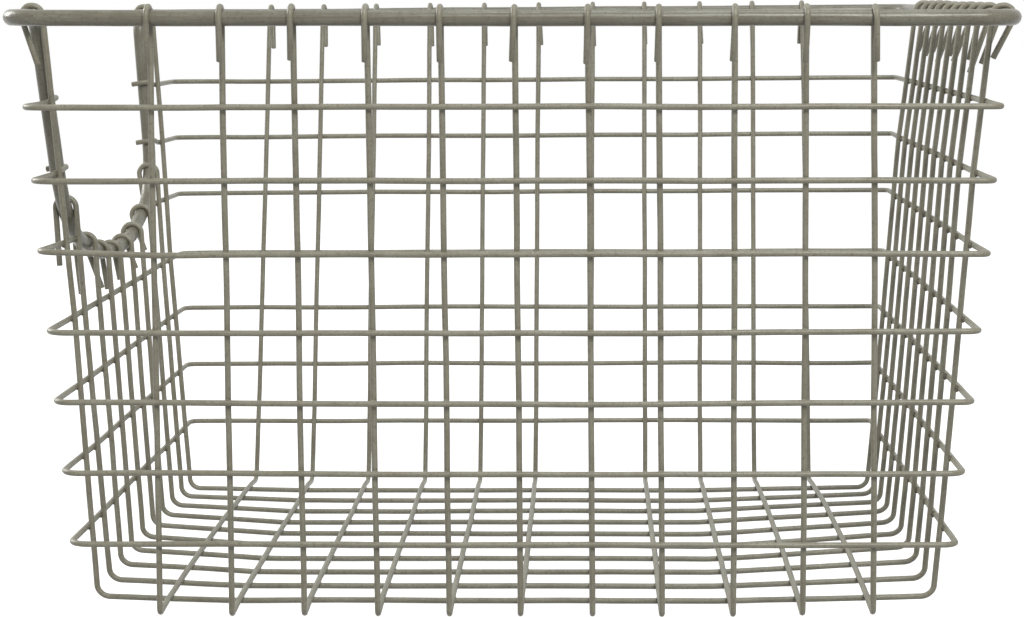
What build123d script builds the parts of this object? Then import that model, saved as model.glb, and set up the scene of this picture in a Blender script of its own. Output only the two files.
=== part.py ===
import math
import os

from build123d import *

os.makedirs("parts", exist_ok=True)

# A locker basket of welded steel wire. A thick rod makes the rim, and dips in the left end into a
# finger grip. Thin wires hang from it, their ends hooked over the rod, and rings go round them.
# X runs from left to right, Y from front to back, and Z up from the surface that it rests on.

# Rim, measured to the axis of its rod
rim_length = 325.4
rim_width = 300.2
rim_height = 205.0
rim_corner_radius = 12.0

# The right side of the rim bulges out between two places, shares of the rim's width
right_bow = 2.4
bow_front_share = -0.2498
bow_back_share = 0.3364
bow_radius_share = 2.332

# Round stock, and how deep crossing wires melt into each other
rod_diameter = 5.1
wire_diameter = 1.95
weld_sink = 0.1
rod_side_count = 8
wire_side_count = 8

# A wire's bend is made of short straights: the most that one turns, and its gap to the true curve
bend_step_angle = 35
bend_step_gap = 0.25

# How far inside the rim the floor lies at each wall
front_inset = 26.0
left_inset = 11.2
right_inset = 14.4
floor_bend_radius = 8.0

# Finger grip in the left end: corners of the rod's dip, from back to front. Places from front to
# back and bend radii are shares of the rim's width, and depths are shares of its height.
grip_place_shares = [0.2798, 0.2831, 0.006, -0.2831, -0.3491]
grip_depth_shares = [0, 0.3512, 0.4805, 0.3561, 0]
grip_radius_shares = [0.0266, 0.0866, 0.6662, 0.1399, 0.0266]

# Rings, from the top one down, as shares of the drop from the rim to the floor
ring_depth_shares = [0.144, 0.264, 0.385, 0.514, 0.633, 0.755, 0.881]
ring_corner_radius = 6.0
ring_end_lift = 1.8
ring_end_tail = 2.0
ring_end_radius = 2.7
ring_overhang = 2.5

# Cross wires, which run front to back on top of the long ones. Pitches and middles are shares of
# the rim's length, and the last wire leans aside to its hooks.
cross_wire_count = 11
cross_rim_pitch_share = 0.07222
cross_rim_middle_share = 0.004
cross_floor_pitch_share = 0.07468
cross_floor_middle_share = -0.0012
last_cross_shift_share = -0.0074

# Long wires, which run from end to end. Their pitch and places are shares of the rim's width.
long_wire_count = 10
long_pitch_share = 0.07328
long_middle_share = 0.0067

# Four long wires lean aside to their hooks at the left end: the first and the last over the rim
# beside the grip, the second and the ninth over the grip's legs. The first one does so at the right
# end too.
first_left_hook_share = -0.3664
first_knee_share = -0.3224
second_left_hook_share = -0.2698
ninth_left_hook_share = 0.2665
last_left_hook_share = 0.3231
last_knee_share = 0.3248
first_right_hook_share = -0.3731
knee_radius = 20.0

# Hooked ends: play over the rod, and each straight tail's drop below the rod and lean inwards
hook_play = 0.2
front_tail_drop = 14.0
front_tail_angle = 18
left_tail_drop = 17.0
left_tail_angle = 24
right_tail_drop = 17.0
right_tail_angle = 20
grip_tail_drop = 15.0
grip_tail_drop_shares = [1.25, 1.2, 0.9, 0.96, 0.9, 0.93, 0.95, 0.44]
grip_tail_angles = [3, 6, 20, 8, 10, 20, 20, 9]

# Sizes that follow from the ones above
seat = (rod_diameter + wire_diameter) / 2
crossing = wire_diameter - weld_sink
flat_turn = 180 / wire_side_count
hook_bend_radius = seat - hook_play
long_floor_z = wire_diameter / 2
cross_floor_z = long_floor_z + crossing
drop = rim_height - cross_floor_z
left_rim_x = -(rim_length + right_bow) / 2
right_rim_x = (rim_length - right_bow) / 2
front_lean = front_inset / drop
left_lean = left_inset / drop
right_lean = right_inset / drop
bow_front_y = bow_front_share * rim_width
bow_back_y = bow_back_share * rim_width
bow_bend_radius = bow_radius_share * rim_width
long_pitch = long_pitch_share * rim_width
long_middle_y = long_middle_share * rim_width
first_knee_y = first_knee_share * rim_width
first_left_hook_y = first_left_hook_share * rim_width
second_left_hook_y = second_left_hook_share * rim_width
ninth_left_hook_y = ninth_left_hook_share * rim_width
last_left_hook_y = last_left_hook_share * rim_width
ring_heights = [rim_height - share * drop for share in ring_depth_shares]
flare_height = ring_heights[1]
flare_lean = right_lean + right_bow / (rim_height - flare_height)
along_x = Vector(1, 0, 0)
along_y = Vector(0, 1, 0)
upward = Vector(0, 0, 1)


def front_wall_y(z):
    """Place of the front wall's wires at a height, and of the back wall's with the sign turned."""
    return seat - rim_width / 2 + front_lean * (rim_height - z)


def left_wall_x(z):
    """Place of the left wall's wires at a height."""
    return left_rim_x + seat + left_lean * (rim_height - z)


def right_wall_x(z):
    """Place of the right wall's wires at a height, flared where it meets the bulge of the rim."""
    flare = max(0, z - flare_height) * (flare_lean - right_lean)
    return right_rim_x - seat - right_lean * (rim_height - z) + flare


def between(low_point, high_point, z):
    """Y of a straight wire at a height, from two of its points, each a pair of height and Y."""
    low_z, low_y = low_point
    high_z, high_y = high_point
    return low_y + (high_y - low_y) * (z - low_z) / (high_z - low_z)


def hook(rod_point, outward, lean, tail_angle, tail_drop, rise=seat):
    """Corners of an end that comes up inside the rod, turns over it and runs down outside."""
    slope = math.tan(math.radians(tail_angle))
    reach = seat / math.cos(math.radians(tail_angle))
    return [
        rod_point + outward * (lean * rise - seat) + upward * rise,
        rod_point + outward * (reach + slope * rise) + upward * rise,
        rod_point + outward * (reach - slope * tail_drop) - upward * tail_drop,
    ]


def wire_points(run):
    """Points along a wire's run, with each of its bends cut into a few short straights."""
    start_length = 0
    points = [run @ 0]
    for edge in run.order_edges():
        step_count = 1
        if edge.geom_type == GeomType.CIRCLE:
            turn = math.degrees(edge.length / edge.radius)
            gap_share = min(1, bend_step_gap / edge.radius)
            step_angle = min(bend_step_angle, 2 * math.degrees(math.acos(1 - gap_share)))
            step_count = math.ceil(turn / step_angle)
        for step in range(1, step_count + 1):
            length = start_length + edge.length * step / step_count
            points.append(run.position_at(length, PositionMode.LENGTH))
        start_length += edge.length
    return points


# Rim: one rod bent round the top and down round the grip
with BuildPart() as top_rim:
    with BuildLine() as rim_run:
        corners = [
            (left_rim_x, -rim_width / 2, rim_height),
            (right_rim_x, -rim_width / 2, rim_height),
            (right_rim_x + right_bow, bow_front_y, rim_height),
            (right_rim_x + right_bow, bow_back_y, rim_height),
            (right_rim_x, rim_width / 2, rim_height),
            (left_rim_x, rim_width / 2, rim_height),
        ]
        for place_share, depth_share in zip(grip_place_shares, grip_depth_shares):
            depth = depth_share * rim_height
            corners.append((left_rim_x + left_lean * depth, place_share * rim_width, rim_height - depth))
        bends = [rim_corner_radius] * 2 + [bow_bend_radius] * 2 + [rim_corner_radius] * 2
        bends += [share * rim_width for share in grip_radius_shares]
        FilletPolyline(*corners, radius=bends, close=True)
    with BuildSketch(Plane(origin=rim_run.wire() @ 0, z_dir=rim_run.wire() % 0)):
        RegularPolygon(rod_diameter / 2, rod_side_count, major_radius=False, rotation=180 / rod_side_count)
    sweep()
top_rim.part.label = "top_rim"
export_step(top_rim.part, "parts/top_rim.step")
rim_axis = rim_run.wire()


def rod_at(plane, side):
    """Where the rim's axis crosses a plane, at its far left or right, and its direction there."""
    found = rim_axis.intersect(plane).vertices().sort_by(side)[0]
    point = Vector(found)
    return point, rim_axis.tangent_at(point)


def across(y):
    """Plane across the basket at one place from front to back."""
    return Plane(origin=(0, y, 0), z_dir=along_y)


def level(z):
    """Plane level with one height."""
    return Plane(origin=(0, 0, z), z_dir=upward)


# Cross wires: down the front wall, over the floor and up the back wall
for number in range(cross_wire_count):
    step = number - (cross_wire_count - 1) / 2
    rim_x = (cross_rim_middle_share + cross_rim_pitch_share * step) * rim_length
    floor_x = (cross_floor_middle_share + cross_floor_pitch_share * step) * rim_length
    if number == cross_wire_count - 1:
        rim_x += last_cross_shift_share * rim_length
    front_rod = Vector(rim_x, -rim_width / 2, rim_height)
    front_half = hook(front_rod, -along_y, front_lean, front_tail_angle, front_tail_drop)[::-1]
    front_half.append(Vector(floor_x, front_wall_y(cross_floor_z), cross_floor_z))
    back_half = [Vector(point.X, -point.Y, point.Z) for point in front_half[::-1]]
    with BuildPart() as cross_wire:
        with BuildLine() as wire_run:
            bends = [hook_bend_radius] * 2 + [floor_bend_radius] * 2 + [hook_bend_radius] * 2
            curve = FilletPolyline(*front_half, *back_half, radius=bends, mode=Mode.PRIVATE)
            Polyline(*wire_points(curve.wire()))
        start = front_half[0]
        with BuildSketch(Plane(origin=start, x_dir=along_x, z_dir=front_half[1] - start)):
            RegularPolygon(wire_diameter / 2, wire_side_count, major_radius=False, rotation=flat_turn)
        sweep(transition=Transition.RIGHT)
    cross_wire.part.label = f"cross_wire_{number + 1:02d}"
    export_step(cross_wire.part, f"parts/{cross_wire.part.label}.step")


# Long wires: down the left wall, along the floor and up the right wall
for number in range(long_wire_count):
    floor_y = long_middle_y + long_pitch * (number - (long_wire_count - 1) / 2)
    left_y = floor_y
    right_y = floor_y
    left_knees = []
    tail = (left_tail_angle, left_tail_drop)
    if number == 0:
        left_y = first_left_hook_y
        right_y = first_right_hook_share * rim_width
        left_knees = [(ring_heights[3], first_knee_y)]
    elif number == long_wire_count - 1:
        left_y = last_left_hook_y
        left_knees = [(ring_heights[3], last_knee_share * rim_width)]
    else:
        tail = (grip_tail_angles[number - 1], grip_tail_drop * grip_tail_drop_shares[number - 1])
        if number == 1:
            left_y = second_left_hook_y
        elif number == long_wire_count - 2:
            left_y = ninth_left_hook_y
    left_rod, left_direction = rod_at(across(left_y), Axis.X)
    right_rod, _ = rod_at(across(right_y), -Axis.X)
    rise = seat / abs(left_direction.Y)
    left_leg = hook(left_rod, -along_x, left_lean, *tail, rise)[::-1]
    left_leg += [Vector(left_wall_x(z), y, z) for z, y in left_knees]
    left_leg.append(Vector(left_wall_x(long_floor_z), floor_y, long_floor_z))
    right_leg = hook(right_rod, along_x, flare_lean, right_tail_angle, right_tail_drop)[::-1]
    knee_y = between((long_floor_z, floor_y), (rim_height, right_y), flare_height)
    right_leg.append(Vector(right_wall_x(flare_height), knee_y, flare_height))
    right_leg.append(Vector(right_wall_x(long_floor_z), floor_y, long_floor_z))
    bends = [hook_bend_radius] * 2 + [knee_radius] * len(left_knees) + [floor_bend_radius] * 2
    bends += [knee_radius] + [hook_bend_radius] * 2
    with BuildPart() as long_wire:
        with BuildLine() as wire_run:
            curve = FilletPolyline(*left_leg, *right_leg[::-1], radius=bends, mode=Mode.PRIVATE)
            Polyline(*wire_points(curve.wire()))
        start = left_leg[0]
        with BuildSketch(Plane(origin=start, x_dir=along_y, z_dir=left_leg[1] - start)):
            RegularPolygon(wire_diameter / 2, wire_side_count, major_radius=False, rotation=flat_turn)
        sweep(transition=Transition.RIGHT)
    long_wire.part.label = f"long_wire_{number + 1:02d}"
    export_step(long_wire.part, f"parts/{long_wire.part.label}.step")


def wrapped_end(z, side, knee_y):
    """Corners of a ring's end, which passes inside the grip's leg and turns outwards beyond it."""
    leg, direction = rod_at(level(z), Axis.Y if side > 0 else -Axis.Y)
    reach = seat / abs(direction.Z)
    turn_y = leg.Y + side * reach
    end_z = z + ring_end_lift
    return [
        Vector(leg.X - rod_diameter / 2 - ring_end_tail, turn_y, end_z),
        Vector(leg.X + seat, turn_y, end_z),
        Vector(left_wall_x(z) - crossing, knee_y, z),
    ]


# Rings: the top two end in turns round the grip's legs, the third is cut off past the wires that
# hook over those legs, and the rest are closed, each made as a front half and its mirror image
for number, z in enumerate(ring_heights):
    left_x = left_wall_x(z) - crossing
    right_x = right_wall_x(z) + crossing
    corner_x = right_x - max(0, z - flare_height) * (flare_lean - right_lean)
    front_y = front_wall_y(z) - crossing
    front_corners = [Vector(left_x, front_y, z), Vector(corner_x, front_y, z)]
    back_corners = [Vector(corner_x, -front_y, z), Vector(left_x, -front_y, z)]
    bends = [ring_corner_radius] * 4
    closed = number > 2
    if number < 2:
        first_y = between((ring_heights[3], first_knee_y), (rim_height, first_left_hook_y), z)
        front_end = wrapped_end(z, 1, first_y)
        back_end = wrapped_end(z, -1, last_left_hook_y)
        corners = front_end + front_corners + back_corners + back_end[::-1]
        end_bends = [ring_end_radius, knee_radius]
        bends = end_bends + bends + end_bends[::-1]
    elif closed:
        corners = [Vector(left_x, 0, z), *front_corners, Vector(right_x, 0, z)]
        bends = [ring_corner_radius] * 2
    else:
        front_end = Vector(left_x, second_left_hook_y + ring_overhang, z)
        back_end = Vector(left_x, ninth_left_hook_y - ring_overhang, z)
        corners = [front_end, *front_corners, *back_corners, back_end]
    if z > flare_height:
        bow_place = corners.index(front_corners[1]) + 1
        corners[bow_place:bow_place] = [Vector(right_x, bow_front_y, z), Vector(right_x, bow_back_y, z)]
        bends[bow_place - 1:bow_place - 1] = [bow_bend_radius] * 2
    with BuildPart() as ring:
        with BuildLine() as wire_run:
            curve = FilletPolyline(*corners, radius=bends, mode=Mode.PRIVATE)
            Polyline(*wire_points(curve.wire()))
        ring_wire = wire_run.wire()
        with BuildSketch(Plane(origin=ring_wire @ 0, x_dir=upward, z_dir=ring_wire % 0)):
            RegularPolygon(wire_diameter / 2, wire_side_count, major_radius=False, rotation=flat_turn)
        sweep(transition=Transition.RIGHT)
        if closed:
            mirror(about=Plane.XZ)
    ring.part.label = f"ring_{number + 1}"
    export_step(ring.part, f"parts/{ring.part.label}.step")
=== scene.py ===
"""Looks for a locker basket of welded and painted steel wire.

Each bar of the basket is drawn as a round bar of steel in the place of its solid: the thick rim
with its finger grip, the wires that hook over it, and the rings that go round them. Small lumps of
melted metal and paint sit where the bars are welded. Lengths are in millimetres and angles in
degrees where nothing else is said.
"""

import logging
import math
from collections.abc import Iterator
from dataclasses import dataclass, field
from enum import Enum, IntEnum
from typing import NamedTuple

import bmesh
import bpy
from mathutils import Matrix, Vector, noise


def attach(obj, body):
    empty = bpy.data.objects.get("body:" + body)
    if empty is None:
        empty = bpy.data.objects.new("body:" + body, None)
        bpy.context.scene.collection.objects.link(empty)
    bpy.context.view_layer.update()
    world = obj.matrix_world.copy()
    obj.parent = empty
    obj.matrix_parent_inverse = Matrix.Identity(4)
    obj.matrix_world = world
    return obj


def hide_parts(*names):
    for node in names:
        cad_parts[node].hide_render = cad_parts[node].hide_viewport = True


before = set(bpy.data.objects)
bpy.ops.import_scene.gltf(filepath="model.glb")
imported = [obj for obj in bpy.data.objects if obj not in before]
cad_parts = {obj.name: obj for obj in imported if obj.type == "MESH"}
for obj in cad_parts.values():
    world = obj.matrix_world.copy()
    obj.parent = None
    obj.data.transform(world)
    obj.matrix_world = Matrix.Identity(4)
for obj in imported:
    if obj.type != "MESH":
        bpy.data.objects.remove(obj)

MM = 0.001
UP = Vector((0, 0, 1))
ALONG_X = Vector((1, 0, 0))
ALONG_Y = Vector((0, 1, 0))
BODY = "root"
# The end walls' weld lumps, which get the darker paint that is painted shade at their crossings.
SHADED_END_WELDS = "end_wall_welds"

# A smaller turn, in radians, a shorter step or a smaller rise counts as none.
LEAST_TURN = 0.002
LEAST_STEP = 1e-4
LEAST_RISE = 1e-9

# How far along its narrowed end a cut bar is, and how full it is there, as shares.
CUT_END = ((0.0, 0.78), (0.4, 0.94), (1.0, 1.0))

# The wires' wander is the same in every run.
WANDER_SEED = 7

Row = tuple[float, ...]
Triple = tuple[float, float, float]
Pieces = list[bpy.types.Object]
Socket = bpy.types.NodeSocket

log = logging.getLogger("locker_basket")


class Corner(NamedTuple):
    """A corner of a bar's run, and the radius that the bar is bent to there."""

    place: Vector
    radius: float


class Station(NamedTuple):
    """A point on a bar's middle line, its direction, and the bar's fullness as a share."""

    place: Vector
    along: Vector
    fullness: float


class Slot(Enum):
    """The record's material slots."""

    RIM = "rim_paint"
    WIRE = "wire_paint"


class Axis(IntEnum):
    """The axes of the basket: to the right, to the back and up."""

    X = 0
    Y = 1
    Z = 2


class Side(Enum):
    """Which of several crossings is meant, by the sign that sorts it first."""

    LOWEST = 1
    HIGHEST = -1


def flat_corner(x: float, y: float, z: float, radius: float = 0.0) -> Corner:
    """A corner from its three coordinates."""
    return Corner(Vector((x, y, z)), radius)


def rounded(corners: list[Corner], closed: bool, step_angle: float = 11.0) -> list[Vector]:
    """Rounds the corners of a run.

    Args:
        corners: the run's corners in order.
        closed: whether the last corner leads back to the first.
        step_angle: the most that the run turns from one point to the next.

    Returns:
        Points on the run, close together in its bends and only at their ends on its straights.
    """
    count = len(corners)
    points: list[Vector] = []
    for index, corner in enumerate(corners):
        if not closed and index in (0, count - 1):
            points.append(corner.place.copy())
            continue
        arriving = (corner.place - corners[index - 1].place).normalized()
        leaving = (corners[(index + 1) % count].place - corner.place).normalized()
        turn = arriving.angle(leaving)
        if corner.radius <= 0 or turn < LEAST_TURN:
            points.append(corner.place.copy())
            continue
        tangent = corner.radius * math.tan(turn / 2)
        inward = (leaving - arriving).normalized()
        centre = corner.place + inward * (corner.radius / math.cos(turn / 2))
        axis = arriving.cross(leaving).normalized()
        start = corner.place - arriving * tangent - centre
        steps = max(2, math.ceil(math.degrees(turn) / step_angle))
        for step in range(steps + 1):
            points.append(centre + Matrix.Rotation(turn * step / steps, 3, axis) @ start)
    return points


def spaced(points: list[Vector], closed: bool, gap: float) -> list[Vector]:
    """Adds points on the long straights of a run.

    Args:
        points: the run's points.
        closed: whether the last point leads back to the first.
        gap: the most that neighbouring points are apart.

    Returns:
        The points with more between them.
    """
    filled: list[Vector] = []
    ends = points[1:] + (points[:1] if closed else [])
    for start, end in zip(points, ends):
        length = (end - start).length
        if length < LEAST_STEP:
            continue
        steps = max(1, math.ceil(length / gap))
        filled += [start.lerp(end, step / steps) for step in range(steps)]
    if not closed:
        filled.append(points[-1])
    return filled


def in_row(number: int, count: int, middle: float, pitch: float) -> float:
    """Place of one wire in an even row, the wires counted from 0."""
    return middle + pitch * (number - (count - 1) / 2)


def at_height(low: tuple[float, float], high: tuple[float, float], z: float) -> float:
    """Place of a leaning wire at a height, by the height and place of a low and a high point."""
    return low[1] + (high[1] - low[1]) * (z - low[0]) / (high[0] - low[0])


def standing(place: Vector, along: Vector) -> Matrix:
    """A frame at a place with its third axis along a direction, in metres."""
    return Matrix.Translation(place * MM) @ along.to_track_quat("Z", "Y").to_matrix().to_4x4()


def linked(name: str, data: bpy.types.ID) -> bpy.types.Object:
    """Puts a mesh, a camera or a lamp in the scene.

    Args:
        name: the new object's name.
        data: what it shows.

    Returns:
        The object, at the origin.
    """
    made = bpy.data.objects.new(name, data)
    bpy.context.scene.collection.objects.link(made)
    return made


def mesh_of(mesh_edit: bmesh.types.BMesh, name: str) -> bpy.types.Mesh:
    """Turns an edited mesh into a plain one.

    Args:
        mesh_edit: the mesh, which is freed.
        name: the plain mesh's name.

    Returns:
        The plain mesh.
    """
    mesh = bpy.data.meshes.new(name)
    mesh_edit.to_mesh(mesh)
    mesh_edit.free()
    return mesh


def finished(mesh_edit: bmesh.types.BMesh, name: str, slot: Slot) -> bpy.types.Object:
    """Turns an edited mesh into a piece that rides with the basket.

    Args:
        mesh_edit: the mesh, which is freed.
        name: the piece's name.
        slot: not used.

    Returns:
        The new object.
    """
    piece = linked(name, mesh_of(mesh_edit, name))
    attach(piece, BODY)
    return piece


@dataclass
class Sag:
    """How a used basket of hand-fed wire is out of true.

    One field bends all of the basket, so that its welds stay shut. In it, x, y and z run from -1
    to 1 over the basket. The drift is its lean to the right: all over, then by x, y, z, xy, xz,
    yz and xyz.
    """

    reach: float = 0.32
    wave: float = 58.0
    ripple: float = 0.10
    ripple_wave: float = 17.0
    ripple_start: Vector = field(default_factory=lambda: Vector((7.1, 3.3, 9.7)))
    middle: Vector = field(default_factory=lambda: Vector((0, 0, 100)))
    half: Vector = field(default_factory=lambda: Vector((160, 150, 105)))
    drift: Row = (0.34, 0.20, -0.18, 0.14, -0.14, 0.45, 0.44, 0.52)
    pinch: float = -0.70
    twist: float = -0.97
    front_drop: float = -0.55
    front_left_rise: float = 0.4
    back_rise: float = 0.4
    left_level: float = 0.62
    right_level: float = 0.44
    end_rise: float = 11.5
    arch_foot: float = 0.25
    arch_fall: float = 2.0
    rise_height: float = 26.0

    def moved(self, place: Vector) -> Vector:
        """A place with the field's small shift added.

        Args:
            place: the place on the true basket.

        Returns:
            The place on the used one.
        """
        slow = noise.noise_vector(place / self.wave) * self.reach
        quick = noise.noise_vector(place / self.ripple_wave + self.ripple_start) * self.ripple
        return place + slow + quick + self.bent(place)

    def bent(self, place: Vector) -> Vector:
        """How far the basket as a whole leans and twists at a place.

        Args:
            place: the place on the true basket.

        Returns:
            The shift, sideways and up.
        """
        x, y, z = ((place - self.middle)[axis] / self.half[axis] for axis in Axis)
        shares = (1, x, y, z, x * y, x * z, y * z, x * y * z)
        sideways = sum(share * amount for share, amount in zip(shares, self.drift))
        sideways += self.pinch * x**5 * z
        height = max(0.0, z)
        corner = self.front_drop + self.front_left_rise * max(0.0, -x) ** 4
        front = self.twist * x + corner * height**3
        upwards = height * (front * (1 - y) / 2 + self.back_rise * (1 + y) / 2)
        arch = self.arch_foot + (1 - self.arch_foot) * max(0.0, 1 - self.arch_fall * y * y)
        lift = self.end_rise * max(0.0, x - self.right_level, -x - self.left_level) * arch
        upwards += lift * max(0.0, 1 - place.z / self.rise_height)
        return Vector((sideways, 0, upwards))


@dataclass
class Bar:
    """A round bar of steel that follows a run of corners, drawn in place of a solid."""

    name: str
    solid: str
    corners: list[Corner]
    diameter: float
    slot: Slot = Slot.WIRE
    closed: bool = False
    sides: int = 14
    gap: float = 9.0
    evenness: float = 0.018
    evenness_wave: float = 6.0
    lip_share: float = 0.09
    round_pace: float = 0.8
    length_pace: float = 0.03
    sag: Sag = field(default_factory=Sag)

    def stations(self) -> list[Station]:
        """Places the bar's sections.

        Returns:
            Stations along the bar, with its cut ends narrowed where the paint rounds them.
        """
        points = spaced(rounded(self.corners, self.closed), self.closed, self.gap)
        points = [self.sag.moved(point) for point in points]
        count = len(points)
        stations = []
        for index, point in enumerate(points):
            before = points[index - 1] if index or self.closed else point
            after = points[(index + 1) % count] if index < count - 1 or self.closed else point
            along = (after - before).normalized()
            fullness = 1 + self.evenness * noise.noise(point / self.evenness_wave)
            stations.append(Station(point, along, fullness))
        if self.closed:
            return stations
        last = stations[-1]
        head = self.cut_end(stations[0], stations[0].along)
        foot = self.cut_end(last, -last.along)
        return head + stations[1:-1] + foot[::-1]

    def cut_end(self, end: Station, inwards: Vector) -> list[Station]:
        """The stations of a sawn end's narrow last steps, from its own station inwards."""
        lip = self.diameter * self.lip_share
        return [
            Station(end.place + inwards * lip * step, end.along, end.fullness * share)
            for step, share in CUT_END
        ]

    def build(self) -> bpy.types.Object:
        """Draws the bar and lets it ride with the basket.

        Returns:
            The bar's object.
        """
        stations = self.stations()
        mesh_edit = bmesh.new()
        lengthwise = mesh_edit.verts.layers.float_vector.new("drawn")
        across = standing(stations[0].place, stations[0].along)
        made = bmesh.ops.create_circle(
            mesh_edit, cap_ends=False, radius=self.diameter / 2 * MM, segments=self.sides,
            matrix=across @ Matrix.Scale(stations[0].fullness, 4),
        )
        first_edges = list(mesh_edit.edges)
        self.mark(made["verts"], lengthwise, stations[0], 0.0)
        edges = first_edges
        walked = 0.0
        for before, after in zip(stations, stations[1:]):
            grown = bmesh.ops.extrude_edge_only(mesh_edit, edges=edges)["geom"]
            verts = [item for item in grown if isinstance(item, bmesh.types.BMVert)]
            grown_edges = [item for item in grown if isinstance(item, bmesh.types.BMEdge)]
            edges = [edge for edge in grown_edges if edge.is_boundary]
            bmesh.ops.transform(mesh_edit, matrix=self.step_matrix(before, after), verts=verts)
            walked += (after.place - before.place).length
            self.mark(verts, lengthwise, after, walked)
        if self.closed:
            bmesh.ops.bridge_loops(mesh_edit, edges=first_edges + edges)
        else:
            bmesh.ops.contextual_create(mesh_edit, geom=first_edges)
            bmesh.ops.contextual_create(mesh_edit, geom=edges)
        bmesh.ops.recalc_face_normals(mesh_edit, faces=mesh_edit.faces)
        for face in mesh_edit.faces:
            face.smooth = len(face.verts) == 4
        piece = finished(mesh_edit, self.name, self.slot)
        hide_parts(self.solid)
        return piece

    def step_matrix(self, before: Station, after: Station) -> Matrix:
        """Carries a section of the bar from one station to the next without twisting it.

        Args:
            before: the station where the section is.
            after: the station that it goes to.

        Returns:
            The move, in metres.
        """
        turned = before.along.rotation_difference(after.along).to_matrix().to_4x4()
        size = Matrix.Scale(after.fullness / before.fullness, 4)
        there = Matrix.Translation(after.place * MM)
        return there @ turned @ size @ Matrix.Translation(-before.place * MM)

    def mark(self, verts: list[bmesh.types.BMVert], layer: bmesh.types.BMLayerItem,
             station: Station, walked: float) -> None:
        """Notes on each point its place round the bar and along it, for streaks that follow it.

        Args:
            verts: the points of one section.
            layer: where the note is kept.
            station: the section's station.
            walked: the bar's length up to there.
        """
        for vert in verts:
            around = vert.co / MM - station.place
            vert[layer] = around * self.round_pace + station.along * (walked * self.length_pace)


@dataclass
class Stock:
    """The steel that the basket is made of, and how its bars meet."""

    rod: float = 5.25
    wire: float = 2.05
    sink: float = 0.2
    play: float = 0.2

    @property
    def seat(self) -> float:
        """Gap between a hooked wire's middle and the rod's middle."""
        return (self.rod + self.wire) / 2

    @property
    def crossing(self) -> float:
        """Gap between the middles of two welded wires."""
        return self.wire - self.sink

    @property
    def hook_radius(self) -> float:
        """Bend of a wire over the rod."""
        return self.seat - self.play


@dataclass
class Shell:
    """The basket's outline: where its rim, walls and floor are."""

    stock: Stock = field(default_factory=Stock)
    length: float = 325.4
    width: float = 300.2
    height: float = 205.0
    bow: float = 2.4
    front_inset: float = 26.0
    left_inset: float = 11.2
    right_inset: float = 14.4
    floor_radius: float = 4.5
    front_foot_radius: float = 2.2
    back_foot_radius: float = 5.0
    ring_shares: Row = (0.144, 0.264, 0.385, 0.514, 0.633, 0.755, 0.879)
    flare_ring: int = 1
    cut_ring: int = 2
    knee_ring: int = 3
    pitch: float = 22.0
    middle_y: float = 2.0
    first_hook_y: float = -110.0
    first_knee_y: float = -96.8
    second_hook_y: float = -81.0
    ninth_hook_y: float = 80.0
    last_hook_y: float = 97.0
    grip_hook_height: float = 137.0

    @property
    def left_x(self) -> float:
        """The rim's middle line at the left end."""
        return -(self.length + self.bow) / 2

    @property
    def right_x(self) -> float:
        """The rim's middle line at the right end, beside its bulge."""
        return (self.length - self.bow) / 2

    @property
    def long_floor_z(self) -> float:
        """Height of the long wires on the floor."""
        return self.stock.wire / 2

    @property
    def cross_floor_z(self) -> float:
        """Height of the cross wires on the floor."""
        return self.long_floor_z + self.stock.crossing

    @property
    def drop(self) -> float:
        """Height of the rim over the cross wires' floor."""
        return self.height - self.cross_floor_z

    @property
    def front_lean(self) -> float:
        """Slope of the front and back walls."""
        return self.front_inset / self.drop

    @property
    def left_lean(self) -> float:
        """Slope of the left wall."""
        return self.left_inset / self.drop

    @property
    def right_lean(self) -> float:
        """Slope of the right wall below its flare."""
        return self.right_inset / self.drop

    @property
    def flare_lean(self) -> float:
        """Slope of the right wall where it flares out to the rim's bulge."""
        return self.right_lean + self.bow / (self.height - self.flare_height)

    @property
    def flare_height(self) -> float:
        """Height from which the right wall flares out."""
        return self.ring_height(self.flare_ring)

    @property
    def ring_count(self) -> int:
        """How many rings there are."""
        return len(self.ring_shares)

    @property
    def knee_height(self) -> float:
        """Height of the knees in the left wall's outer wires."""
        return self.ring_height(self.knee_ring)

    def ring_height(self, number: int) -> float:
        """Height of a ring, counted from 0 at the top."""
        return self.height - self.ring_shares[number] * self.drop

    def front_y(self, z: float) -> float:
        """Place of the front wall's wires at a height."""
        return self.stock.seat - self.width / 2 + self.front_lean * (self.height - z)

    def left_wall_x(self, z: float) -> float:
        """Place of the left wall's wires at a height."""
        return self.left_x + self.stock.seat + self.left_lean * (self.height - z)

    def first_wire_y(self, z: float) -> float:
        """Place of wire 1 in the left wall at a height over its knee."""
        return at_height((self.knee_height, self.first_knee_y), (self.height, self.first_hook_y), z)

    def flared(self, z: float) -> float:
        """How far the right wall has flared out at a height."""
        return max(0.0, z - self.flare_height) * (self.flare_lean - self.right_lean)

    def right_wall_x(self, z: float) -> float:
        """Place of the right wall's wires at a height."""
        straight = self.right_x - self.stock.seat - self.right_lean * (self.height - z)
        return straight + self.flared(z)


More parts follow.
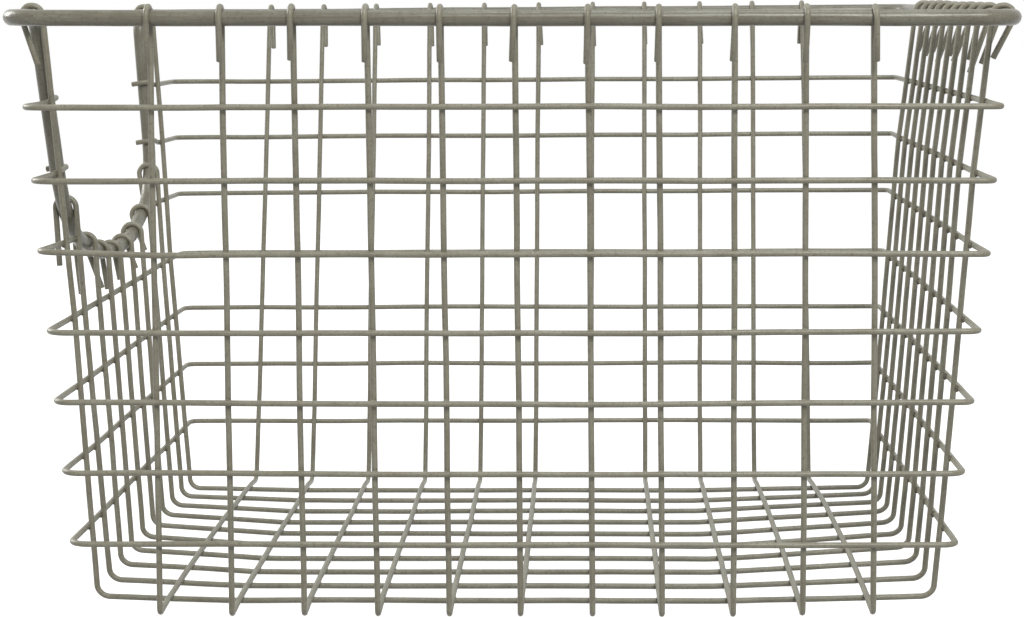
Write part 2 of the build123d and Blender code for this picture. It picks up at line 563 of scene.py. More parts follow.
@dataclass
class Rim:
    """The thick rod round the top, with the finger grip that it dips into at the left end."""

    shell: Shell
    corner_radius: float = 12.0
    bow_front_y: float = -75.0
    bow_back_y: float = 101.0
    bow_radius: float = 700.0
    grip_places: Row = (84.0, 85.0, 1.8, -85.0, -104.8)
    grip_depths: Row = (0.0, 72.0, 98.5, 73.0, 0.0)
    grip_radii: Row = (8.0, 26.0, 200.0, 42.0, 8.0)
    sides: int = 28
    evenness: float = 0.012
    search_angle: float = 2.0

    def corners(self) -> list[Corner]:
        """The rod's corners.

        Returns:
            Those of the front, right and back from the front left one on, and then the grip's.
        """
        shell = self.shell
        half = shell.width / 2
        right = shell.right_x
        corners = [
            flat_corner(shell.left_x, -half, shell.height, self.corner_radius),
            flat_corner(right, -half, shell.height, self.corner_radius),
            flat_corner(right + shell.bow, self.bow_front_y, shell.height, self.bow_radius),
            flat_corner(right + shell.bow, self.bow_back_y, shell.height, self.bow_radius),
            flat_corner(right, half, shell.height, self.corner_radius),
            flat_corner(shell.left_x, half, shell.height, self.corner_radius),
        ]
        for place, depth, radius in zip(self.grip_places, self.grip_depths, self.grip_radii):
            x = shell.left_x + shell.left_lean * depth
            corners.append(flat_corner(x, place, shell.height - depth, radius))
        return corners

    def crossing(self, axis: Axis, value: float, sort_axis: Axis,
                 side: Side) -> tuple[Vector, Vector]:
        """Finds where the rod's middle line crosses a plane.

        Args:
            axis: the axis that the plane stands across.
            value: the plane's place on that axis.
            sort_axis: the axis along which the crossings are sorted.
            side: which of them is meant.

        Returns:
            The crossing and the rod's direction there.
        """
        points = rounded(self.corners(), True, self.search_angle)
        found = []
        for start, end in zip(points, points[1:] + points[:1]):
            low, high = start[axis] - value, end[axis] - value
            if low * high <= 0 and abs(high - low) > LEAST_RISE:
                place = start.lerp(end, low / (low - high))
                found.append((place[sort_axis] * side.value, place, (end - start).normalized()))
        found.sort(key=lambda item: item[0])
        return found[0][1], found[0][2]

    def build(self) -> Pieces:
        """Draws the rod."""
        bar = Bar("rim_rod", "top_rim", self.corners(), self.shell.stock.rod, Slot.RIM,
                  closed=True, sides=self.sides, evenness=self.evenness)
        return [bar.build()]


@dataclass
class Hook:
    """An end of a wire that comes up inside the rod, turns over it and runs down outside."""

    stock: Stock
    lean: float
    tail_angle: float
    tail_drop: float

    def corners(self, rod: Vector, outward: Vector, rise: float,
                aside: float = 0.0) -> list[Corner]:
        """The hook's corners from its cut end to its top inside the rod.

        Args:
            rod: the rod's middle.
            outward: the level direction out of the basket.
            rise: how far the wire goes over the rod's middle.
            aside: how far the tail's end leans to the left, seen from outside.

        Returns:
            Three corners.
        """
        slope = math.tan(math.radians(self.tail_angle))
        reach = self.stock.seat / math.cos(math.radians(self.tail_angle))
        sideways = UP.cross(outward) * -aside
        end = rod + outward * (reach - slope * self.tail_drop) - UP * self.tail_drop + sideways
        outer = rod + outward * (reach + slope * rise) + UP * rise
        inner = rod + outward * (self.lean * rise - self.stock.seat) + UP * rise
        radius = self.stock.hook_radius
        return [Corner(end, 0.0), Corner(outer, radius), Corner(inner, radius)]


@dataclass
class CrossWires:
    """The wires that run front to back: down the front, over the floor and up the back."""

    shell: Shell
    count: int = 11
    rim_pitch: float = 23.5
    rim_middle: float = 1.3
    floor_pitch: float = 24.3
    floor_middle: float = -0.4
    rim_shifts: Row = (-0.29, -0.5, -0.89, -0.56, -0.3, -0.14, -0.11, -0.93, -0.27, -0.98, -2.78)
    floor_shifts: Row = (-1.09, -0.71, -0.21, 0.68, 0.77, 0.78, 1.15, 0.5, 0.38, -0.33, -0.89)
    tail_angle: float = 18.0
    tail_drops: Row = (14.6, 14.0, 13.6, 14.3, 14.2, 14.0, 14.8, 14.1, 13.9, 14.4, 14.2)
    tail_leans: Row = (0.9, 0.6, 0.8, 0.7, 0.3, 0.9, 0.6, 0.5, 0.8, 0.4, -0.8)
    foot_drop: float = 1.2
    foot_length: float = 16.0
    foot_knee_radius: float = 12.0

    def rim_x(self, number: int) -> float:
        """Place of a wire along the rim, the wires counted from 0 at the left."""
        place = in_row(number, self.count, self.rim_middle, self.rim_pitch)
        return place + self.rim_shifts[number]

    def floor_x(self, number: int) -> float:
        """Place of a wire along the floor."""
        place = in_row(number, self.count, self.floor_middle, self.floor_pitch)
        return place + self.floor_shifts[number]

    def wall_x(self, number: int, z: float) -> float:
        """Place of a wire in the front and back walls at a height."""
        top = (self.shell.height + self.shell.stock.seat, self.rim_x(number))
        return at_height((self.shell.cross_floor_z, self.floor_x(number)), top, z)

    def half(self, number: int, outward: Vector, foot_radius: float) -> list[Corner]:
        """The corners of a wire's front or back half.

        Args:
            number: the wire.
            outward: the direction out of the basket at that half.
            foot_radius: bend of the wire from wall to floor.

        Returns:
            The corners from the cut end to the floor.
        """
        shell = self.shell
        rod = Vector((self.rim_x(number), outward.y * shell.width / 2, shell.height))
        hook = Hook(shell.stock, shell.front_lean, self.tail_angle, self.tail_drops[number])
        corners = hook.corners(rod, outward, shell.stock.seat, self.tail_leans[number])
        x = self.floor_x(number)
        foot_z = shell.cross_floor_z - self.foot_drop
        foot_y = -outward.y * shell.front_y(foot_z)
        knee_y = foot_y - outward.y * self.foot_length
        corners.append(flat_corner(x, foot_y, foot_z, foot_radius))
        corners.append(flat_corner(x, knee_y, shell.cross_floor_z, self.foot_knee_radius))
        return corners

    def build(self) -> Pieces:
        """Draws the wires.

        Returns:
            The wires from left to right.
        """
        shell = self.shell
        pieces = []
        for number in range(self.count):
            corners = self.half(number, -ALONG_Y, shell.front_foot_radius)
            corners += self.half(number, ALONG_Y, shell.back_foot_radius)[::-1]
            name, solid = f"cross_bar_{number + 1:02d}", f"cross_wire_{number + 1:02d}"
            pieces.append(Bar(name, solid, corners, shell.stock.wire).build())
        return pieces


@dataclass
class LongWires:
    """The wires that run from end to end: down the left wall, along the floor and up the right."""

    shell: Shell
    rim: Rim
    count: int = 10
    knee_radius: float = 20.0
    last_knee_y: float = 97.5
    first_right_hook_y: float = -112.0
    rim_angle: float = 18.5
    rim_drop: float = 16.2
    grip_drop: float = 15.0
    grip_drop_shares: Row = (1.25, 1.2, 0.9, 0.96, 0.9, 0.93, 0.95, 0.44)
    grip_angles: Row = (3.0, 6.0, 20.0, 8.0, 10.0, 20.0, 20.0, 9.0)
    right_drops: Row = (14.3, 17.2, 21.0, 17.0, 18.0, 16.4, 19.5, 16.0, 18.0, 16.6)
    right_angles: Row = (27.0, 20.0, 19.0, 14.0, 21.0, 18.0, 20.0, 21.0, 19.0, 20.0)

    @property
    def leg_hooks(self) -> dict[int, float]:
        """The wires that hook over the grip's legs, and where."""
        return {1: self.shell.second_hook_y, self.count - 2: self.shell.ninth_hook_y}

    def floor_y(self, number: int) -> float:
        """Place of a wire on the floor, the wires counted from 0 at the front."""
        return in_row(number, self.count, self.shell.middle_y, self.shell.pitch)

    def right_hook_y(self, number: int) -> float:
        """Place of a wire on the rim at the right."""
        return self.first_right_hook_y if number == 0 else self.floor_y(number)

    def right_y(self, number: int, z: float) -> float:
        """Place of a wire in the right wall at a height."""
        low = (self.shell.long_floor_z, self.floor_y(number))
        return at_height(low, (self.shell.height, self.right_hook_y(number)), z)

    def wall_knee(self, y: float) -> Corner:
        """A slight bend of a wire in the left wall."""
        z = self.shell.knee_height
        return flat_corner(self.shell.left_wall_x(z), y, z, self.knee_radius)

    def left_end(self, number: int) -> tuple[float, list[Corner], Hook]:
        """Where a wire goes at the left end.

        Args:
            number: the wire.

        Returns:
            Its hook's place, the knees under the hook, and the hook.
        """
        shell = self.shell
        rim_hook = Hook(shell.stock, shell.left_lean, self.rim_angle, self.rim_drop)
        if number == 0:
            return shell.first_hook_y, [self.wall_knee(shell.first_knee_y)], rim_hook
        if number == self.count - 1:
            return shell.last_hook_y, [self.wall_knee(self.last_knee_y)], rim_hook
        drop = self.grip_drop * self.grip_drop_shares[number - 1]
        hook = Hook(shell.stock, shell.left_lean, self.grip_angles[number - 1], drop)
        return self.leg_hooks.get(number, self.floor_y(number)), [], hook

    def left_half(self, number: int) -> list[Corner]:
        """The corners of a wire's left half.

        Args:
            number: the wire.

        Returns:
            The corners from the cut end to the floor.
        """
        shell, low = self.shell, self.shell.long_floor_z
        hook_y, knees, hook = self.left_end(number)
        rod, along = self.rim.crossing(Axis.Y, hook_y, Axis.X, Side.LOWEST)
        corners = hook.corners(rod, -ALONG_X, shell.stock.seat / abs(along.y))
        foot = flat_corner(shell.left_wall_x(low), self.floor_y(number), low, shell.floor_radius)
        return corners + knees + [foot]

    def right_half(self, number: int) -> list[Corner]:
        """The corners of a wire's right half.

        Args:
            number: the wire.

        Returns:
            The corners from the cut end to the floor.
        """
        shell, low, flare = self.shell, self.shell.long_floor_z, self.shell.flare_height
        rod, _ = self.rim.crossing(Axis.Y, self.right_hook_y(number), Axis.X, Side.HIGHEST)
        angle, drop = self.right_angles[number], self.right_drops[number]
        hook = Hook(shell.stock, shell.flare_lean, angle, drop)
        knee_y, foot_y = self.right_y(number, flare), self.floor_y(number)
        return hook.corners(rod, ALONG_X, shell.stock.seat) + [
            flat_corner(shell.right_wall_x(flare), knee_y, flare, self.knee_radius),
            flat_corner(shell.right_wall_x(low), foot_y, low, shell.floor_radius),
        ]

    def build(self) -> Pieces:
        """Draws the wires.

        Returns:
            The wires from front to back.
        """
        pieces = []
        for number in range(self.count):
            corners = self.left_half(number) + self.right_half(number)[::-1]
            name, solid = f"long_bar_{number + 1:02d}", f"long_wire_{number + 1:02d}"
            pieces.append(Bar(name, solid, corners, self.shell.stock.wire).build())
        return pieces


@dataclass
class Rings:
    """The rings round the walls, the top ones turned round the grip's legs at their ends."""

    shell: Shell
    rim: Rim
    back_radius: float = 4.0
    back_right_radius: float = 2.3
    left_radii: Row = (9.0, 9.0, 6.0, 7.0, 6.0, 7.0, 6.0)
    right_radii: Row = (3.2, 3.2, 3.2, 3.5, 3.5, 5.0, 4.5)
    right_reaches: Row = (0.1, 0.2, 0.6, 0.4, 0.5, 0.0, 0.0)
    left_lifts: Row = (0.0, 0.0, 1.1, 0.0, 0.0, 0.0, 0.0)
    lift_place: float = -118.0
    lift_radius: float = 30.0
    front_sags: Row = (0.25, 0.2, 0.3, -0.45, -0.75, -0.25, 0.15)
    sag_place: float = 33.0
    sag_radius: float = 300.0
    end_lift: float = 1.8
    front_tails: Row = (-2.2, 2.2)
    back_tails: Row = (1.8, 2.0)
    end_droop: float = 1.1
    end_radius: float = 2.7
    end_reach: float = -0.8
    knee_radius: float = 20.0
    overhang: float = 2.5

    def wrapped(self, z: float, side: Side, knee_y: float, tail: float) -> list[Corner]:
        """The corners of an end that passes inside the grip's leg and turns outwards beyond it.

        Args:
            z: the ring's height.
            side: which leg, the lowest being the front one.
            knee_y: where the ring leaves the last wire before the grip.
            tail: how far the end passes the leg's outer side.

        Returns:
            Three corners from the cut end on.
        """
        shell, seat = self.shell, self.shell.stock.seat
        leg, along = self.rim.crossing(Axis.Z, z, Axis.Y, side)
        turn_y = leg.y + side.value * seat / abs(along.z)
        end_z = z + self.end_lift
        return [
            flat_corner(leg.x - shell.stock.rod / 2 - tail, turn_y, end_z - self.end_droop),
            flat_corner(leg.x + seat + self.end_reach, turn_y, end_z, self.end_radius),
            flat_corner(shell.left_wall_x(z) - shell.stock.crossing, knee_y, z, self.knee_radius),
        ]

    def around(self, number: int) -> list[Corner]:
        """The corners of a ring on its way round the basket.

        Args:
            number: the ring, counted from 0 at the top.

        Returns:
            The corners from the front left one to the back left one.
        """
        shell, stock, rim = self.shell, self.shell.stock, self.rim
        z = shell.ring_height(number)
        left = shell.left_wall_x(z) - stock.crossing
        right = shell.right_wall_x(z) + stock.crossing
        corner_x = right - shell.flared(z)
        reach = self.right_reaches[number]
        front = shell.front_y(z) - stock.crossing
        corners = [
            flat_corner(left, front, z + self.left_lifts[number], self.left_radii[number]),
            flat_corner(self.lift_place, front, z, self.lift_radius),
            flat_corner(self.sag_place, front, z + self.front_sags[number], self.sag_radius),
            flat_corner(corner_x + reach, front, z, self.right_radii[number]),
        ]
        if z > shell.flare_height:
            corners.append(flat_corner(right, rim.bow_front_y, z, rim.bow_radius))
            corners.append(flat_corner(right, rim.bow_back_y, z, rim.bow_radius))
        corners.append(flat_corner(corner_x, -front, z, self.back_right_radius))
        corners.append(flat_corner(left, -front, z, self.back_radius))
        return corners

    def ends(self, number: int) -> tuple[list[Corner], list[Corner]]:
        """The corners of a ring's two ends at the grip.

        Args:
            number: the ring.

        Returns:
            Those before the front left corner and those after the back left one.
        """
        shell = self.shell
        z = shell.ring_height(number)
        if number > shell.cut_ring:
            return [], []
        if number == shell.cut_ring:
            x = shell.left_wall_x(z) - shell.stock.crossing
            start = flat_corner(x, shell.second_hook_y + self.overhang, z)
            end = flat_corner(x, shell.ninth_hook_y - self.overhang, z)
            return [start], [end]
        first_y = shell.first_wire_y(z)
        front = self.wrapped(z, Side.LOWEST, first_y, self.front_tails[number])
        back = self.wrapped(z, Side.HIGHEST, shell.last_hook_y, self.back_tails[number])
        return front, back[::-1]

    def build(self) -> Pieces:
        """Draws the rings.

        Returns:
            The rings from the top down.
        """
        pieces = []
        for number in range(self.shell.ring_count):
            start, end = self.ends(number)
            corners = start + self.around(number) + end
            bar = Bar(f"ring_bar_{number + 1}", f"ring_{number + 1}", corners,
                      self.shell.stock.wire, closed=not start)
            pieces.append(bar.build())
        return pieces


class Weld(NamedTuple):
    """A weld's middle, the way its bars lie over each other, and its size as a share."""

    place: Vector
    outward: Vector
    share: float = 1.0


@dataclass
class Welds:
    """The small lumps of melted metal and paint where the bars are welded."""

    shell: Shell
    cross: CrossWires
    long: LongWires
    sag: Sag = field(default_factory=Sag)
    lump: float = 1.12
    right_share: float = 1.12
    floor_share: float = 0.97
    unevenness: float = 0.16
    unevenness_pace: float = 0.9
    flatness: float = 0.92
    detail: int = 2

    def lumps(self, name: str, welds: Iterator[Weld]) -> bpy.types.Object:
        """Draws the lumps of some welds.

        Args:
            name: the piece's name.
            welds: the welds.

        Returns:
            The lumps' object.
        """
        flat = Matrix.Diagonal((1.0, 1.0, self.flatness, 1.0))
        mesh_edit = bmesh.new()
        for weld in welds:
            uneven = 1 + self.unevenness * noise.noise(weld.place * self.unevenness_pace)
            radius = self.lump * weld.share * uneven * MM
            matrix = standing(self.sag.moved(weld.place), weld.outward) @ flat
            bmesh.ops.create_icosphere(
                mesh_edit, subdivisions=self.detail, radius=radius, matrix=matrix)
        for face in mesh_edit.faces:
            face.smooth = True
        return finished(mesh_edit, name, Slot.WIRE)

    def left_y(self, number: int, ring: int, z: float) -> float | None:
        """Place of a long wire's weld in the left wall.

        Args:
            number: the wire.
            ring: the ring that crosses it, counted from 0 at the top.
            z: the ring's height.

        Returns:
            The place, or None where the ring doesn't pass the wire.
        """
        shell, leg_hooks = self.shell, self.long.leg_hooks
        knee_z = shell.knee_height
        floor = (shell.long_floor_z, self.long.floor_y(number))
        if number == 0 and z < knee_z:
            return at_height(floor, (knee_z, shell.first_knee_y), z)
        if number == 0:
            return shell.first_wire_y(z)
        if number == self.long.count - 1:
            return at_height(floor, (knee_z, self.long.last_knee_y), min(z, knee_z))
        if ring < shell.cut_ring or (ring == shell.cut_ring and number not in leg_hooks):
            return None
        if number in leg_hooks:
            return at_height(floor, (shell.grip_hook_height, leg_hooks[number]), z)
        return self.long.floor_y(number)

    def wall_welds(self) -> Iterator[Weld]:
        """Finds where the cross wires meet the rings in the front and back walls.

        Yields:
            The welds, from the top ring down.
        """
        shell = self.shell
        for ring in range(shell.ring_count):
            z = shell.ring_height(ring)
            y = shell.front_y(z) - shell.stock.crossing / 2
            for number in range(self.cross.count):
                for sign in (1, -1):
                    yield Weld(Vector((self.cross.wall_x(number, z), y * sign, z)), ALONG_Y)

    def end_welds(self) -> Iterator[Weld]:
        """Finds where the long wires meet the rings in the left and right walls.

        Yields:
            The welds, from the top ring down.
        """
        shell = self.shell
        half = shell.stock.crossing / 2
        for ring in range(shell.ring_count):
            z = shell.ring_height(ring)
            right, left = shell.right_wall_x(z) + half, shell.left_wall_x(z) - half
            for number in range(self.long.count):
                place = Vector((right, self.long.right_y(number, z), z))
                yield Weld(place, ALONG_X, self.right_share)
                left_y = self.left_y(number, ring, z)
                if left_y is not None:
                    yield Weld(Vector((left, left_y, z)), ALONG_X)

    def floor_welds(self) -> Iterator[Weld]:
        """Finds where the cross wires lie on the long ones.

        Yields:
            The welds, from left to right.
        """
        z = (self.shell.long_floor_z + self.shell.cross_floor_z) / 2
        for number in range(self.cross.count):
            for wire in range(self.long.count):
                place = Vector((self.cross.floor_x(number), self.long.floor_y(wire), z))
                yield Weld(place, UP, self.floor_share)

    def build(self) -> Pieces:
        """Draws the lumps of the long walls, of the end walls and of the floor."""
        return [
            self.lumps("front_and_back_welds", self.wall_welds()),
            self.lumps(SHADED_END_WELDS, self.end_welds()),
            self.lumps("floor_welds", self.floor_welds()),
        ]


def joined(tree: bpy.types.ShaderNodeTree, operation: str, first: Socket,
           second: Socket | float) -> Socket:
    """Joins two values by a Math node.

    Args:
        tree: the node tree that takes the node.
        operation: what the node does.
        first: the socket with the first value.
        second: the socket with the second value, or the value.

    Returns:
        The socket with the result.
    """
    node = tree.nodes.new("ShaderNodeMath")
    node.operation = operation
    tree.links.new(first, node.inputs[0])
    if isinstance(second, float):
        node.inputs[1].default_value = second
    else:
        tree.links.new(second, node.inputs[1])
    return node.outputs["Value"]


class Texture(NamedTuple):
    """A noise texture: its scale, its octaves, and how strong the finer ones are."""

    scale: float
    detail: float
    rough: float


class Span(NamedTuple):
    """A range of values and the range that it is mapped to."""

    low: float
    high: float
    to_low: float
    to_high: float


class PaintedBar:
    """The node group of paint with streaks along the bar, wide patches and fine pits."""

    streak = Texture(2.6, 3.0, 0.6)
    grain = Texture(900.0, 2.0, 0.6)
    patch = Texture(95.0, 3.0, 0.55)
    pale_span = Span(0.46, 0.72, 0.0, 0.75)
    dark_span = Span(0.40, 0.70, 0.0, 0.55)
    pit_span = Span(0.52, 0.72, 0.0, 1.0)
    dull_span = Span(0.3, 0.7, -0.06, 0.08)
    sockets = (
        ("INPUT", "NodeSocketVector", ("Place", "Drawn")),
        ("INPUT", "NodeSocketColor", ("Body", "Pale", "Dark")),
        ("INPUT", "NodeSocketFloat", ("Mottle", "Roughness")),
        ("OUTPUT", "NodeSocketColor", ("Color",)),
        ("OUTPUT", "NodeSocketFloat", ("Roughness", "Height")),
    )

    def __init__(self) -> None:
        """Builds the group once."""
        self.tree = bpy.data.node_groups.new("painted_bar", "ShaderNodeTree")
        for way, kind, names in self.sockets:
            for name in names:
                self.tree.interface.new_socket(name, in_out=way, socket_type=kind)
        self.connect()

    def speckle(self, texture: Texture, place: Socket) -> Socket:
        """A noise texture.

        Args:
            texture: how it is set.
            place: the socket with the place that it reads.

        Returns:
            The socket with its value.
        """
        node = self.tree.nodes.new("ShaderNodeTexNoise")
        for name, value in zip(("Scale", "Detail", "Roughness"), texture):
            node.inputs[name].default_value = value
        self.tree.links.new(place, node.inputs["Vector"])
        return node.outputs["Fac"]

    def ranged(self, source: Socket, span: Span) -> Socket:
        """Maps a value from one range to another.

        Args:
            source: the socket with the value.
            span: the two ranges.

        Returns:
            The socket with the result.
        """
        node = self.tree.nodes.new("ShaderNodeMapRange")
        for name, value in zip(("From Min", "From Max", "To Min", "To Max"), span):
            node.inputs[name].default_value = value
        self.tree.links.new(source, node.inputs["Value"])
        return node.outputs["Result"]

    def mixed(self, factor: Socket, first: Socket, second: Socket) -> Socket:
        """Mixes two colours by a factor.

        Args:
            factor: the second colour's share.
            first: the colour where the factor is 0.
            second: the colour where it is 1.

        Returns:
            The socket with the result.
        """
        node = self.tree.nodes.new("ShaderNodeMix")
        node.data_type = "RGBA"
        for name, source in (("Factor", factor), ("A", first), ("B", second)):
            self.tree.links.new(source, node.inputs[name])
        return node.outputs["Result"]

    def connect(self) -> None:
        """Puts the group's nodes in and connects them."""
        given = self.tree.nodes.new("NodeGroupInput").outputs
        put = self.tree.nodes.new("NodeGroupOutput").inputs
        streak = self.speckle(self.streak, given["Drawn"])
        grain = self.speckle(self.grain, given["Place"])
        patch = self.speckle(self.patch, given["Place"])

        pitted = joined(self.tree, "MULTIPLY", self.ranged(grain, self.pit_span), given["Mottle"])
        streaked = self.mixed(self.ranged(streak, self.pale_span), given["Body"], given["Pale"])
        patched = self.mixed(self.ranged(patch, self.dark_span), streaked, given["Dark"])
        speckled = self.mixed(pitted, patched, given["Dark"])
        spread = self.ranged(streak, self.dull_span)
        rough = joined(self.tree, "ADD", spread, given["Roughness"])
        height = joined(self.tree, "ADD", streak, grain)
        for name, source in (("Color", speckled), ("Roughness", rough), ("Height", height)):
            self.tree.links.new(source, put[name])


@dataclass(frozen=True)
class Paint:
    """A satin paint over drawn steel: its colours in linear light and its surface."""

    name: str
    body: Triple
    pale: Triple
    dark: Triple
    mottle: float
    roughness: float
    gloss: float
    bump_strength: float = 0.35
    bump_height: float = 0.00012

    def material(self, painted: PaintedBar) -> bpy.types.Material:
        """Builds the paint's material.

        Args:
            painted: the node group that the paints share.

        Returns:
            The material.
        """
        material = bpy.data.materials.new(self.name)
        material.use_nodes = True
        tree = material.node_tree
        shader = tree.nodes["Principled BSDF"]
        shader.inputs["Metallic"].default_value = 0.0
        shader.inputs["Specular IOR Level"].default_value = self.gloss
        where = tree.nodes.new("ShaderNodeTexCoord")
        drawn = tree.nodes.new("ShaderNodeAttribute")
        drawn.attribute_name = "drawn"
        coat = tree.nodes.new("ShaderNodeGroup")
        coat.node_tree = painted.tree
        for name, color in (("Body", self.body), ("Pale", self.pale), ("Dark", self.dark)):
            coat.inputs[name].default_value = (*color, 1)
        coat.inputs["Mottle"].default_value = self.mottle
        coat.inputs["Roughness"].default_value = self.roughness
        bump = tree.nodes.new("ShaderNodeBump")
        bump.inputs["Strength"].default_value = self.bump_strength
        bump.inputs["Distance"].default_value = self.bump_height
        link = tree.links.new
        link(where.outputs["Object"], coat.inputs["Place"])
        link(drawn.outputs["Vector"], coat.inputs["Drawn"])
        link(coat.outputs["Color"], shader.inputs["Base Color"])
        link(coat.outputs["Roughness"], shader.inputs["Roughness"])
        link(coat.outputs["Height"], bump.inputs["Height"])
        link(bump.outputs["Normal"], shader.inputs["Normal"])
        return material


# Painted shade: the rim has the same paint as the wires, and its colours here are made darker so
# that the thick rod's body renders dimmer.
RIM_SHADED_PAINT = Paint(
    "rim_shaded_satin_paint", body=(0.168, 0.159, 0.120), pale=(0.235, 0.235, 0.196),
    dark=(0.112, 0.100, 0.071), mottle=0.75, roughness=0.30, gloss=0.36)
WIRE_PAINT = Paint(
    "wire_satin_paint", body=(0.232, 0.221, 0.168), pale=(0.300, 0.294, 0.240),
    dark=(0.147, 0.133, 0.095), mottle=0.75, roughness=0.40, gloss=0.40)
# Painted shade: a darker copy of the wire paint, put only on the end walls' weld lumps so that they
# read as the shadowed gaps where wire and ring cross.
WELD_SHADE_PAINT = Paint(
    "weld_shade_satin_paint", body=(0.120, 0.110, 0.080), pale=(0.190, 0.178, 0.140),
    dark=(0.070, 0.060, 0.042), mottle=0.85, roughness=0.50, gloss=0.35)


class Lamp(NamedTuple):
    """A square soft lamp: its place and width in metres, its power in watts and its colour."""

    name: str
    place: Triple
    size: float
    power: float
    color: Triple

    def hang(self, aim: Vector) -> None:
        """Hangs the lamp so that it faces a place.

        Args:
            aim: the place, in metres.
        """
        data = bpy.data.lights.new(self.name, "AREA")
        data.size = self.size
        data.energy = self.power
        data.color = self.color
        turned = (aim - Vector(self.place)).to_track_quat("-Z", "Y").to_matrix().to_4x4()
        linked(self.name, data).matrix_world = Matrix.Translation(self.place) @ turned


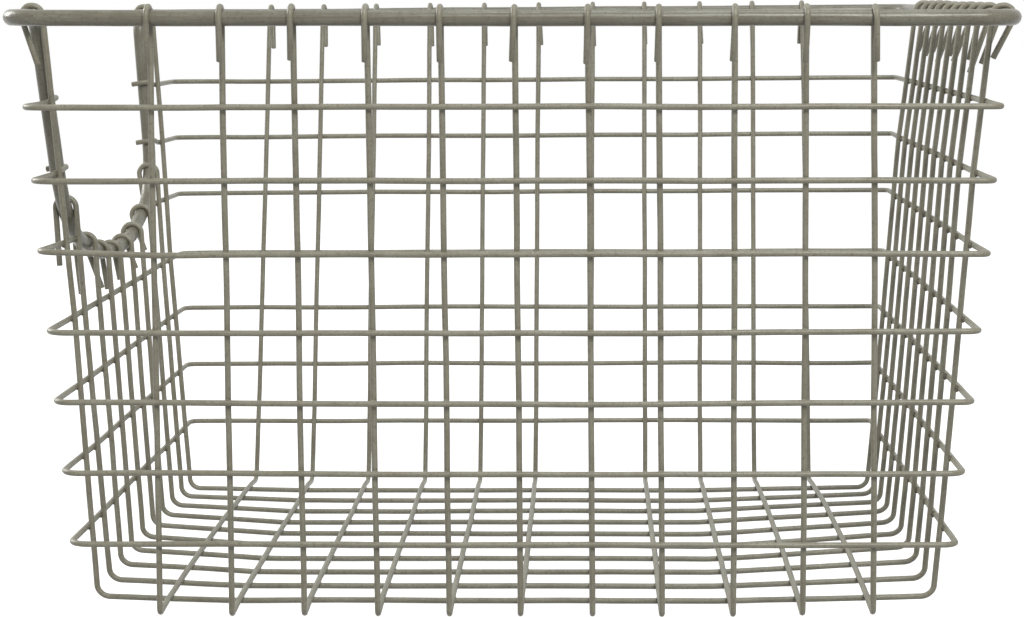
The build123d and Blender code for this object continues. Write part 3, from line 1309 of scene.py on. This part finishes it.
@dataclass
class Studio:
    """The camera, lights and white ground of a catalogue photograph."""

    lens: float = 86.1
    sensor: float = 36.0
    clip: tuple[float, float] = (0.01, 50)
    place: Triple = (28.5, -937.8, 207.6)
    yaw: float = -0.0361
    pitch: float = 0.1221
    roll: float = -0.0069
    aim: Vector = field(default_factory=lambda: Vector((0, 0, 0.1)))
    lamps: tuple[Lamp, ...] = (
        Lamp("top_softbox", (0.1, -0.05, 1.4), 0.45, 4.5, (0.90, 0.98, 1.0)),
        Lamp("front_softbox", (0.4, -1.42, 1.25), 0.6, 25.2, (1.0, 0.985, 0.95)),
        Lamp("back_softbox", (-1.4, 0.7, 0.8), 0.8, 19.0, (1.0, 0.99, 0.96)),
    )
    floor_half: float = 6.0
    floor_z: float = -0.0002
    floor_grey: float = 0.4
    floor_glow: float = 0.9
    soft_color: Triple = (0.97, 0.98, 1.0)
    soft_light: float = 0.27
    backdrop: float = 1.0

    def camera(self) -> None:
        """Stands the camera where the photograph was taken."""
        data = bpy.data.cameras.new("camera")
        data.lens = self.lens
        data.sensor_width = self.sensor
        data.clip_start, data.clip_end = self.clip
        camera = linked("camera", data)
        level = math.cos(self.pitch)
        ahead = Vector((
            math.sin(self.yaw) * level, math.cos(self.yaw) * level, -math.sin(self.pitch)))
        right = Vector((math.cos(self.yaw), -math.sin(self.yaw), 0))
        above = right.cross(ahead)
        across = math.cos(self.roll) * right + math.sin(self.roll) * above
        upright = math.cos(self.roll) * above - math.sin(self.roll) * right
        turned = Matrix((across, upright, -ahead)).transposed()
        camera.matrix_world = Matrix.Translation(Vector(self.place) * MM) @ turned.to_4x4()
        bpy.context.scene.camera = camera

    def looking(self, tree: bpy.types.ShaderNodeTree) -> Socket:
        """Tells the rays that show the ground from those that light the basket.

        Args:
            tree: the node tree that takes the nodes.

        Returns:
            A socket with 1 for rays from the camera, off a gloss or through glass, and else 0.
        """
        rays = tree.nodes.new("ShaderNodeLightPath").outputs
        seen = joined(tree, "MAXIMUM", rays["Is Camera Ray"], rays["Is Glossy Ray"])
        return joined(tree, "MAXIMUM", seen, rays["Is Transmission Ray"])

    def white_ground(self) -> bpy.types.Material:
        """A matt white that shows its own white to the camera and in reflections.

        Returns:
            The material.
        """
        material = bpy.data.materials.new("white_ground")
        material.use_nodes = True
        tree = material.node_tree
        tree.nodes.clear()
        link = tree.links.new
        out = tree.nodes.new("ShaderNodeOutputMaterial")
        matt = tree.nodes.new("ShaderNodeBsdfDiffuse")
        matt.inputs["Color"].default_value = (self.floor_grey, self.floor_grey, self.floor_grey, 1)
        glow = tree.nodes.new("ShaderNodeEmission")
        level = joined(tree, "MULTIPLY", self.looking(tree), self.floor_glow)
        link(level, glow.inputs["Strength"])
        both = tree.nodes.new("ShaderNodeAddShader")
        link(matt.outputs["BSDF"], both.inputs[0])
        link(glow.outputs["Emission"], both.inputs[1])
        link(both.outputs["Shader"], out.inputs["Surface"])
        return material

    def ground(self) -> None:
        """Lays the floor."""
        mesh_edit = bmesh.new()
        bmesh.ops.create_grid(mesh_edit, x_segments=1, y_segments=1, size=self.floor_half)
        bmesh.ops.translate(mesh_edit, verts=mesh_edit.verts, vec=(0, 0, self.floor_z))
        floor = linked("studio_floor", mesh_of(mesh_edit, "studio_floor"))
        floor.data.materials.append(self.white_ground())

    def sky(self) -> None:
        """Sets the world: white to the camera, a soft plain level to everything else."""
        world = bpy.data.worlds.new("studio")
        bpy.context.scene.world = world
        world.use_nodes = True
        tree = world.node_tree
        tree.nodes.clear()
        mix = tree.nodes.new("ShaderNodeMixShader")
        tree.links.new(self.looking(tree), mix.inputs["Fac"])
        lights = ((self.soft_color, self.soft_light), ((1, 1, 1), self.backdrop))
        for slot, (color, strength) in enumerate(lights, start=1):
            light = tree.nodes.new("ShaderNodeBackground")
            light.inputs["Color"].default_value = (*color, 1)
            light.inputs["Strength"].default_value = strength
            tree.links.new(light.outputs["Background"], mix.inputs[slot])
        out = tree.nodes.new("ShaderNodeOutputWorld")
        tree.links.new(mix.outputs["Shader"], out.inputs["Surface"])

    def build(self) -> None:
        """Sets up the whole studio."""
        bpy.context.scene.view_settings.view_transform = "Standard"
        self.camera()
        for lamp in self.lamps:
            lamp.hang(self.aim)
        self.ground()
        self.sky()


def main() -> None:
    """Builds the basket's pieces in order and reports each one."""
    logging.basicConfig(level=logging.INFO, format="%(message)s")
    noise.seed_set(WANDER_SEED)
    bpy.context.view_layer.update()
    shell = Shell()
    rim = Rim(shell)
    cross = CrossWires(shell)
    long = LongWires(shell, rim)
    painted = PaintedBar()
    rim_paint = RIM_SHADED_PAINT.material(painted)
    wire_paint = WIRE_PAINT.material(painted)
    weld_shade_paint = WELD_SHADE_PAINT.material(painted)
    assemblies = (
        (rim, rim_paint),
        (cross, wire_paint),
        (long, wire_paint),
        (Rings(shell, rim), wire_paint),
        (Welds(shell, cross, long), wire_paint),
    )
    for assembly, paint in assemblies:
        for piece in assembly.build():
            # The end walls' welds get the darker paint, which is painted shade at those crossings;
            # all other pieces get their own paint.
            piece.data.materials.append(weld_shade_paint if piece.name == SHADED_END_WELDS else paint)
            log.info("%s: %d points", piece.name, len(piece.data.vertices))
    Studio().build()


if __name__ == "__main__":
    main()
